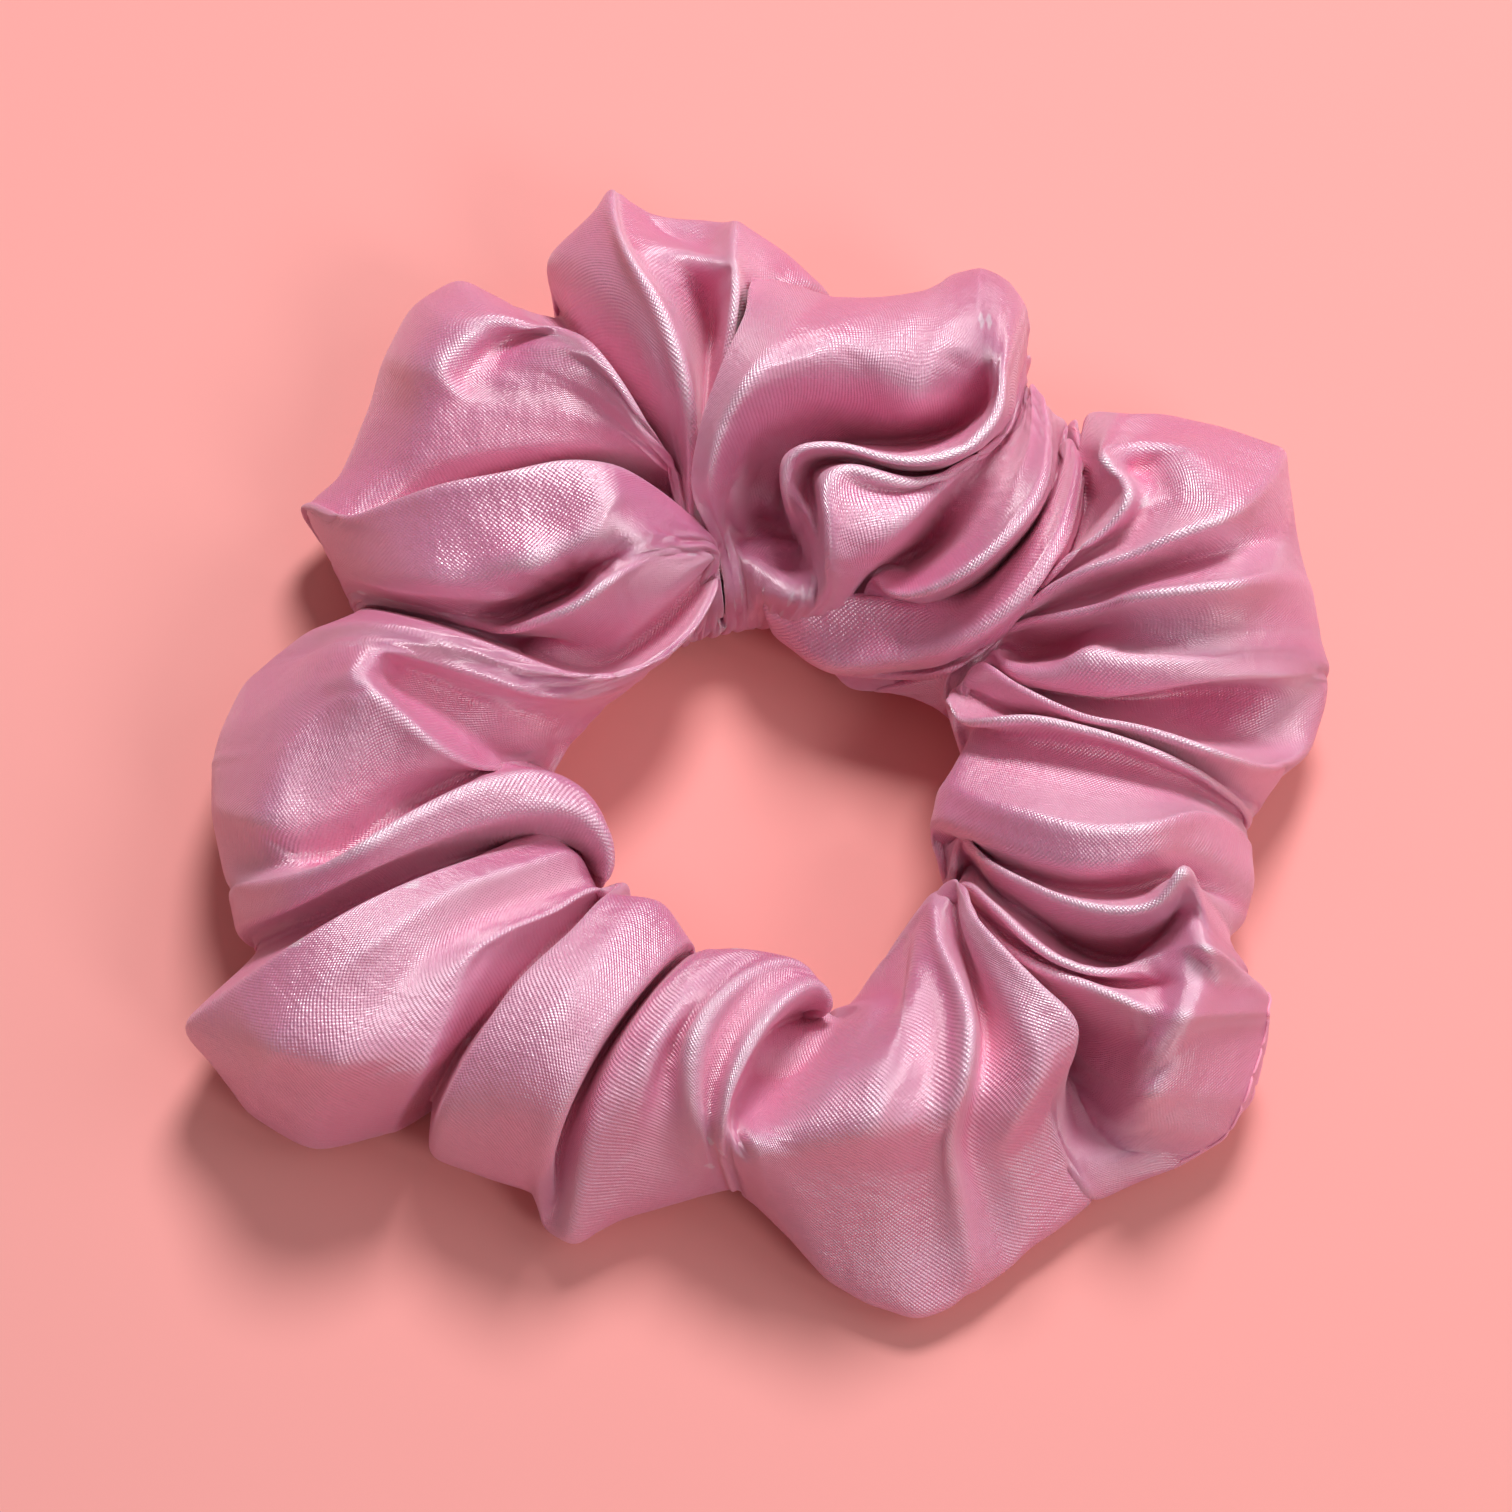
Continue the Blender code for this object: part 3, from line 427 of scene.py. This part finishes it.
class Cloth:
    """A closed tube of cloth. Its points move until the threads between them have their rest lengths."""

    def __init__(self, grid):
        self.points = grid.astype(np.float32)
        self.columns, self.rows = grid.shape[:2]

    def threads(self, along, round_tube, rest, stiffness, only_push=False):
        """Bring each point and the one so many columns and rows away nearer to their rest length."""
        span, count = (along, self.columns) if along else (round_tube, self.rows)
        index = np.arange(count)
        for turn in (0, 1):
            mine = index[(index // span) % 2 == turn]
            theirs = (mine + span) % count
            if along:
                a, b, length = self.points[mine], self.points[theirs], rest[mine]
                b = np.roll(b, -round_tube, axis=1)
            else:
                a, b, length = self.points[:, mine], self.points[:, theirs], rest[:, mine]
            d = b - a
            now = np.sqrt(np.einsum("ijk,ijk->ij", d, d)) + np.float32(1e-9)
            excess = (now - length) / now
            if only_push:
                excess = np.minimum(excess, 0)
            d *= (np.float32(0.5 * stiffness) * excess)[..., None]
            if along:
                self.points[mine] = a + d
                self.points[theirs] = np.roll(b - d, round_tube, axis=1)
            else:
                self.points[:, mine] = a + d
                self.points[:, theirs] = b - d

    def find_neighbours(self, reach, skip=2):
        """Pairs of points nearer than reach that aren't neighbours in the cloth, found by cells."""
        flat = self.points.reshape(-1, 3)
        cell = np.floor((flat - flat.min(axis=0)) / reach).astype(np.int64) + 1
        nx, ny = cell[:, 0].max() + 2, cell[:, 1].max() + 2
        key = cell[:, 0] + nx * (cell[:, 1] + ny * cell[:, 2])
        order = np.argsort(key, kind="stable")
        key, place = key[order], flat[order]
        rank = np.arange(len(flat))
        first, second = [], []
        steps = (-1, 0, 1)
        shifts = {x + nx * (y + ny * z) for x in steps for y in steps for z in steps}
        for shift in sorted(shift for shift in shifts if shift >= 0):
            low = np.searchsorted(key, key + shift, "left") if shift else rank + 1
            count = np.maximum(np.searchsorted(key, key + shift, "right") - low, 0)
            a = np.repeat(rank, count)
            b = np.repeat(low, count) + np.arange(len(a)) - np.repeat(np.cumsum(count) - count, count)
            d = place[a] - place[b]
            near = np.einsum("ij,ij->i", d, d) < reach * reach
            first.append(order[a[near]])
            second.append(order[b[near]])
        a, b = np.concatenate(first), np.concatenate(second)
        du, dv = np.abs(a // self.rows - b // self.rows), np.abs(a % self.rows - b % self.rows)
        du, dv = np.minimum(du, self.columns - du), np.minimum(dv, self.rows - dv)
        far = np.maximum(du, dv) > skip
        self.pairs = a[far], b[far]

    def part_layers(self, gap):
        """Push apart the layers that are nearer than gap."""
        a, b = self.pairs
        flat = self.points.reshape(-1, 3)
        d = flat[a] - flat[b]
        square = np.einsum("ij,ij->i", d, d)
        hit = square < gap * gap
        a, b, d, now = a[hit], b[hit], d[hit], np.sqrt(square[hit]) + 1e-9
        push = d * (0.5 * (gap - now) / now)[:, None]
        count = np.bincount(a, minlength=len(flat)) + np.bincount(b, minlength=len(flat))
        share = 1 / np.sqrt(np.maximum(1, count))
        for k in range(3):
            move = np.bincount(a, push[:, k], len(flat)) - np.bincount(b, push[:, k], len(flat))
            flat[:, k] += move * share

    def clear_elastic_and_table(self):
        p = self.points
        x, y = p[..., 0] - RING_MIDDLE[0], p[..., 1] - RING_MIDDLE[1]
        radius = np.hypot(x, y) + 1e-6
        off, up = radius - ELASTIC_RADIUS, p[..., 2] - ELASTIC_LEVEL
        near = np.hypot(off, up) + 1e-6
        push = np.maximum(ELASTIC_ROOM - near, 0) / near
        p[..., 0] += push * off * x / radius
        p[..., 1] += push * off * y / radius
        p[..., 2] = np.maximum(p[..., 2] + push * up, REST_HEIGHT)


def rest_lengths(grid):
    """Rest lengths along, round and across the grid: its own lengths, evened out."""
    along, around = apart(grid, 1), apart(grid, 0, 1)
    along_rest, around_rest = blur(along, EVEN), blur(around, EVEN)
    across = []
    for turn in (1, -1):
        spare = along_rest**2 - along**2
        spare_around = around_rest**2 - around**2
        spare += spare_around if turn == 1 else np.roll(spare_around, 1, axis=1)
        square = np.maximum(apart(grid, 1, turn) ** 2 + spare, LEAST_DIAGONAL)
        across.append(np.sqrt(square).astype(np.float32))
    return along_rest, around_rest, across


def settled_cloth(start):
    """The grid's points after the cloth has settled, with its rest lengths along and round the tube."""
    along, around, across = rest_lengths(start)
    cloth = Cloth(start)
    along_two = along + np.roll(along, -1, axis=0)
    around_two = around + np.roll(around, -1, axis=1)
    target = start.astype(np.float32)
    drift = np.zeros_like(target)
    for step in range(STEPS):
        before = cloth.points.copy()
        cloth.points += MOMENTUM * drift
        cloth.points[..., 2] -= SAG
        if step % LOOK_EVERY == 0:
            cloth.find_neighbours(LAYER_GAP + NEAR)
        for i in range(PASSES):
            cloth.threads(1, 0, along, STRETCH)
            cloth.threads(0, 1, around, STRETCH)
            cloth.threads(1, 1, across[0], SHEAR)
            cloth.threads(1, -1, across[1], SHEAR)
            cloth.threads(2, 0, along_two, BEND, only_push=True)
            cloth.threads(0, 2, around_two, BEND, only_push=True)
            if i % 2 == 1:
                cloth.part_layers(LAYER_GAP)
            if i == 0:
                cloth.points += HOLD * blur(target - cloth.points, HOLD_SPREAD)
            cloth.clear_elastic_and_table()
        drift = np.clip(cloth.points - before, -FASTEST, FASTEST)
    return cloth.points.astype(float), along, around


# --- Materials -------------------------------------------------------------------------------------------


class Nodes:
    """A material's nodes, made in few words."""

    def __init__(self, name):
        self.material = bpy.data.materials.new(name)
        self.material.use_nodes = True
        self.tree = self.material.node_tree
        self.shader = self.tree.nodes["Principled BSDF"]

    def node(self, kind, settings=None, **inputs):
        made = self.tree.nodes.new(kind)
        for name, value in (settings or {}).items():
            setattr(made, name, value)
        for name, value in inputs.items():
            numbered = name[1:].isdigit()
            self.feed(made.inputs[int(name[1:]) if numbered else name.replace("_", " ")], value)
        return made

    def noise(self, vector, scale, detail=2.0, **inputs):
        made = self.node("ShaderNodeTexNoise", Vector=vector, Scale=scale, Detail=detail, **inputs)
        return made.outputs["Fac"]

    def bump(self, height, **inputs):
        return self.node("ShaderNodeBump", Height=height, **inputs).outputs["Normal"]

    def bands(self, vector, direction, scale, distortion):
        settings = {"wave_type": "BANDS", "bands_direction": direction}
        made = self.node("ShaderNodeTexWave", settings, Vector=vector, Scale=scale, Distortion=distortion)
        return made.outputs["Fac"]

    def feed(self, socket, value):
        if isinstance(value, bpy.types.NodeSocket):
            self.tree.links.new(value, socket)
        else:
            socket.default_value = value

    def set(self, **inputs):
        for name, value in inputs.items():
            self.feed(self.shader.inputs[name.replace("_", " ")], value)

    def maths(self, operation, a, b=0.0):
        return self.node("ShaderNodeMath", {"operation": operation}, i0=a, i1=b).outputs[0]

    def wave(self, across, up, x_turns, y_turns):
        """A sine from -1 to 1 with so many turns per millimetre of the cloth, along and round it."""
        x = self.maths("MULTIPLY", across, x_turns * 2 * math.pi)
        y = self.maths("MULTIPLY", up, y_turns * 2 * math.pi)
        return self.maths("SINE", self.maths("ADD", x, y))

    def ramp(self, factor, *stops):
        made = self.node("ShaderNodeValToRGB", Fac=factor)
        points = made.color_ramp.elements
        for i, (place, colour) in enumerate(stops):
            stop = points[i] if i < 2 else points.new(place)
            stop.position, stop.color = place, (*colour, 1.0)
        return made.outputs["Color"]


def satin_material():
    """Warp-faced polyester satin: floats on a fine diagonal, a long soft highlight, and slight crumples."""
    m = Nodes("satin")
    uv = m.node("ShaderNodeUVMap", {"uv_map": "cloth"}).outputs["UV"]
    parts = m.node("ShaderNodeSeparateXYZ", Vector=uv)
    x, y = parts.outputs["X"], parts.outputs["Y"]
    solid = m.node("ShaderNodeTexCoord").outputs["Object"]
    diagonal = m.wave(x, y, 2.1, 2.1)
    cross = m.wave(x, y, 1.6, -2.9)
    weave = m.maths("ADD", diagonal, m.maths("MULTIPLY", cross, 0.55))
    slub = m.noise(m.node("ShaderNodeMapping", Vector=uv, Scale=(0.35, 3.0, 1.0)).outputs[0], 1.0)
    glint = m.noise(uv, 3.2, 1.0)
    crumple = m.noise(solid, 190.0, 5.0, Roughness=0.6)
    tone = m.noise(solid, 60.0)
    # Painted shade and highlight: the base colour follows the mesh's curvature, a darker saturated crimson deep
    # in the folds and a paler pink along the ridges.
    curvature_for_painted_light = m.node("ShaderNodeNewGeometry").outputs["Pointiness"]
    place = m.maths("ADD", curvature_for_painted_light, m.maths("MULTIPLY", m.maths("SUBTRACT", tone, 0.5), 0.04))
    colour = m.ramp(
        place,
        (0.43, (0.980, 0.045, 0.250)),  # painted shade deep in the folds
        (0.49, (0.890, 0.140, 0.340)),
        (0.52, (0.900, 0.195, 0.400)),
        (0.58, (0.950, 0.420, 0.580)),  # painted highlight along the ridges
    )
    uneven = m.maths("ADD", slub, m.maths("MULTIPLY", weave, 0.08))
    rough = m.node("ShaderNodeMapRange", i0=uneven, i1=0.2, i2=0.9, i3=0.38, i4=0.54).outputs[0]
    fold = m.bump(crumple, Distance=0.0013, Strength=0.4)
    relief = m.maths("ADD", weave, m.maths("MULTIPLY", m.maths("ADD", slub, glint), 2.0))
    threads = m.bump(relief, Distance=0.00004, Strength=0.6, Normal=fold)
    tangent = m.node("ShaderNodeTangent", {"direction_type": "UV_MAP", "uv_map": "cloth"}).outputs["Tangent"]
    m.set(Base_Color=colour, Roughness=rough, Normal=threads, Tangent=tangent)
    m.set(Metallic=0.0, IOR=2.4, Anisotropic=0.7, Specular_IOR_Level=1.0, Sheen_Weight=0.3, Sheen_Roughness=0.4)
    m.set(Subsurface_Weight=0.4, Subsurface_Radius=(1.0, 0.25, 0.4), Subsurface_Scale=0.003)
    m.set(Sheen_Tint=(1.0, 0.88, 0.92, 1.0))
    return m.material


def thread_material():
    """Twisted polyester thread."""
    m = Nodes("sewing_thread")
    solid = m.node("ShaderNodeTexCoord").outputs["Object"]
    twist = m.bands(solid, "DIAGONAL", 2600.0, 0.6)
    m.set(Base_Color=m.ramp(twist, (0.0, (0.80, 0.22, 0.36)), (1.0, (0.92, 0.42, 0.55))))
    m.set(Roughness=0.5, Sheen_Weight=0.3, Normal=m.bump(twist, Distance=0.00004, Strength=0.6))
    return m.material


def elastic_material():
    """Knitted elastic, ribbed along its length."""
    m = Nodes("knitted_elastic")
    solid = m.node("ShaderNodeTexCoord").outputs["Object"]
    ribs = m.bands(solid, "Z", 340.0, 0.3)
    knit = m.noise(solid, 1800.0)
    height = m.maths("ADD", ribs, m.maths("MULTIPLY", knit, 0.4))
    m.set(Base_Color=m.ramp(height, (0.2, (0.62, 0.56, 0.54)), (1.0, (0.88, 0.84, 0.81))))
    m.set(Roughness=0.85, Sheen_Weight=0.3, Normal=m.bump(height, Distance=0.0002, Strength=0.7))
    return m.material


def table_material():
    """A matt table, pale coral."""
    m = Nodes("table")
    grain = m.noise(m.node("ShaderNodeTexCoord").outputs["Object"], 9.0)
    m.set(Base_Color=m.ramp(grain, (0.0, (0.80, 0.32, 0.30)), (1.0, (0.82, 0.335, 0.315))), Roughness=0.9)
    return m.material


# --- Pieces ----------------------------------------------------------------------------------------------

BODY = "root"
CLOTH_WALL = 0.18 * MM

STITCH = 2.8  # length
CLOSING_LINES = 62, 67  # the fold lines between which the edge is sewn through both layers
CLOSING_INSET = 1.7  # rows between the closing's stitches and the edge
CLOSING_LIFT, CLOSING_DIP, CLOSING_RADIUS = 0.17, 0.45, 0.14
SEAM_INSET = 0.4  # rows between the long seam's threads and the edge
SEAM_MARGIN = 2  # columns between the closing and the long seam
END_SEAM_LINE = 94  # a valley that hides where the strip's ends are joined
END_SEAM_PITCH = 0.8  # columns between the end seam's two threads
END_SEAM_MARGIN = 2.0  # rows left free at the ends of the end seam
SEAM_AWAY = -0.35  # from the cloth to the seams inside the tube
COLUMN_STEP, ROW_STEP = 0.25, 0.5  # between the points of a thread's path
REACH_BLUR = 2.0  # columns and rows over which the cloth's reach is evened out


def add(name, data, material):
    piece = bpy.data.objects.new(name, data)
    bpy.context.scene.collection.objects.link(piece)
    data.materials.append(material)
    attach(piece, BODY)
    return piece


def make_cover(points, along, around):
    """The cloth tube, as one closed wall, with its flat millimetres as UVs."""
    columns, rows = points.shape[:2]
    i, j = np.meshgrid(np.arange(columns), np.arange(rows), indexing="ij")
    corners = [(i, j), (i, j + 1), (i + 1, j + 1), (i + 1, j)]
    faces = np.stack([(a % columns) * rows + b % rows for a, b in corners], axis=-1).reshape(-1, 4)
    mesh = bpy.data.meshes.new("satin_cover_cloth")
    mesh.from_pydata((points.reshape(-1, 3) * MM).tolist(), [], faces.tolist())
    length_at = np.concatenate([[0], np.cumsum(along.max(axis=1))])
    round_at = np.concatenate([[0], np.cumsum(around.mean(axis=0))])
    uv = np.stack([np.stack([length_at[a], round_at[b]], axis=-1) for a, b in corners], axis=2)
    mesh.uv_layers.new(name="cloth").data.foreach_set("uv", uv.reshape(-1).astype(np.float32))
    mesh.shade_smooth()
    cover = add("satin_cover_cloth", mesh, SATIN)
    finer = cover.modifiers.new("Finer cloth", "SUBSURF")
    finer.levels = finer.render_levels = 1
    wall = cover.modifiers.new("Cloth wall", "SOLIDIFY")
    wall.thickness = CLOTH_WALL
    wall.offset = 0.0
    return cover


def normals(points):
    """Unit normals of the grid, pointing out of the tube."""
    n = np.cross(
        np.roll(points, -1, axis=0) - np.roll(points, 1, axis=0),
        np.roll(points, -1, axis=1) - np.roll(points, 1, axis=1),
    )
    return n / (np.linalg.norm(n, axis=2, keepdims=True) + 1e-9)


def make_thread(name, path, node, radius=0.11):
    """A sewing thread along a path in millimetres, in place of its CAD node."""
    curve = bpy.data.curves.new(name, "CURVE")
    curve.dimensions = "3D"
    curve.bevel_depth = radius * MM
    curve.bevel_resolution = 2
    curve.use_fill_caps = True
    spline = curve.splines.new("POLY")
    spline.points.add(len(path) - 1)
    for point, place in zip(spline.points, path):
        point.co = (*(place * MM), 1.0)
    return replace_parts(add(name, curve, SEWING), node)


SATIN, SEWING, ELASTIC = satin_material(), thread_material(), elastic_material()

START, LINE_COLUMNS = lofted_cover()
POINTS, ALONG, AROUND = settled_cloth(START)
NORMALS = normals(POINTS)
REACH = np.hypot(*np.moveaxis(blur(POINTS, REACH_BLUR) - RING_MIDDLE, 2, 0)[:2])


def on_cloth(column, row, away):
    """A point so far outside the cloth, at fractional places of its grid."""
    i, j = math.floor(column), math.floor(row)
    place = np.zeros(3)
    for a, share_a in ((i, i + 1 - column), (i + 1, column - i)):
        for b, share_b in ((j, j + 1 - row), (j + 1, row - j)):
            at = a % COLUMNS, b % ROWS
            place += share_a * share_b * (POINTS[at] + away * NORMALS[at])
    return place


def outer_row(first, last):
    """The row that reaches farthest from the ring's middle between two columns."""
    return int(np.argmax(REACH[np.arange(int(first), int(last)) % COLUMNS].mean(axis=0)))


def along_cloth(first, last, row, away, dip=0.0):
    """A path between two columns, so far outside the cloth, dipping into it at each stitch's needle holes."""
    columns = np.arange(first, last, COLUMN_STEP)
    places = np.array([on_cloth(c, row, 0.0) for c in columns])
    run = np.concatenate([[0], np.cumsum(np.linalg.norm(np.diff(places, axis=0), axis=1))])
    rise = np.minimum(1, 3 * np.abs(np.sin(math.pi * run / STITCH)))
    return [on_cloth(c, row, away - dip * (1 - up)) for c, up in zip(columns, rise)]


def around_cloth(column, away):
    """A path round the tube at one column, so far outside the cloth."""
    rows = np.arange(END_SEAM_MARGIN, ROWS - END_SEAM_MARGIN, ROW_STEP)
    return [on_cloth(column, row, away) for row in rows]


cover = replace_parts(make_cover(POINTS, ALONG, AROUND), "satin_cover")

closing = [LINE_COLUMNS[line] for line in CLOSING_LINES]
edge = outer_row(*closing)
for node, side in (("closing_needle_thread", -1), ("closing_bobbin_thread", 1)):
    path = along_cloth(*closing, edge + side * CLOSING_INSET, CLOSING_LIFT, CLOSING_DIP)
    make_thread(node + "_sewn", path, node, CLOSING_RADIUS)
rest_of_ring = closing[1] + SEAM_MARGIN, closing[0] - SEAM_MARGIN + COLUMNS
seam = outer_row(0, COLUMNS)
for node, side in (("long_seam_needle_thread", -1), ("long_seam_bobbin_thread", 1)):
    path = along_cloth(*rest_of_ring, seam + side * SEAM_INSET, SEAM_AWAY)
    make_thread(node + "_sewn", path, node)
for node, offset in (("end_seam_needle_thread", 0.0), ("end_seam_bobbin_thread", END_SEAM_PITCH)):
    path = around_cloth(LINE_COLUMNS[END_SEAM_LINE] + offset, SEAM_AWAY)
    make_thread(node + "_sewn", path, node)

for node, material in (("elastic_band", ELASTIC), ("elastic_tack_thread", SEWING)):
    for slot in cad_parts[node].material_slots:
        slot.material = material

# --- Table, lights and camera ----------------------------------------------------------------------------

bpy.ops.mesh.primitive_plane_add(size=3.0)
table = bpy.context.object
table.name = "table"
table.data.materials.append(table_material())


def soft_light(name, place, size, watts):
    """A white disk of light that faces the origin."""
    lamp = bpy.data.lights.new(name, "AREA")
    lamp.shape, lamp.size, lamp.energy = "DISK", size, watts
    light = bpy.data.objects.new(name, lamp)
    light.location = place
    light.rotation_euler = (-Vector(place)).to_track_quat("-Z", "Y").to_euler()
    bpy.context.scene.collection.objects.link(light)


soft_light("key", (0.12, 0.46, 0.72), 0.30, 7.0)
soft_light("fill", (0.6, -0.1, 0.6), 0.5, 1.2)
soft_light("front", (0.48, -0.55, 0.6), 0.3, 1.9)

world = bpy.data.worlds.new("studio")
world.use_nodes = True
background = world.node_tree.nodes["Background"].inputs
background["Color"].default_value = (1.0, 0.94, 0.93, 1)
background["Strength"].default_value = 0.22
bpy.context.scene.world = world
bpy.context.scene.view_settings.view_transform = "Standard"

SENSOR = 36.0
camera = bpy.data.cameras.new("camera")
camera.sensor_width = SENSOR
camera.lens = SENSOR * DISTANCE / VIEW_WIDTH
view = bpy.data.objects.new("camera", camera)
view.location = EYE * MM
view.rotation_euler = (math.pi / 2 - ELEVATION, 0, 0)
bpy.context.scene.collection.objects.link(view)
bpy.context.scene.camera = view
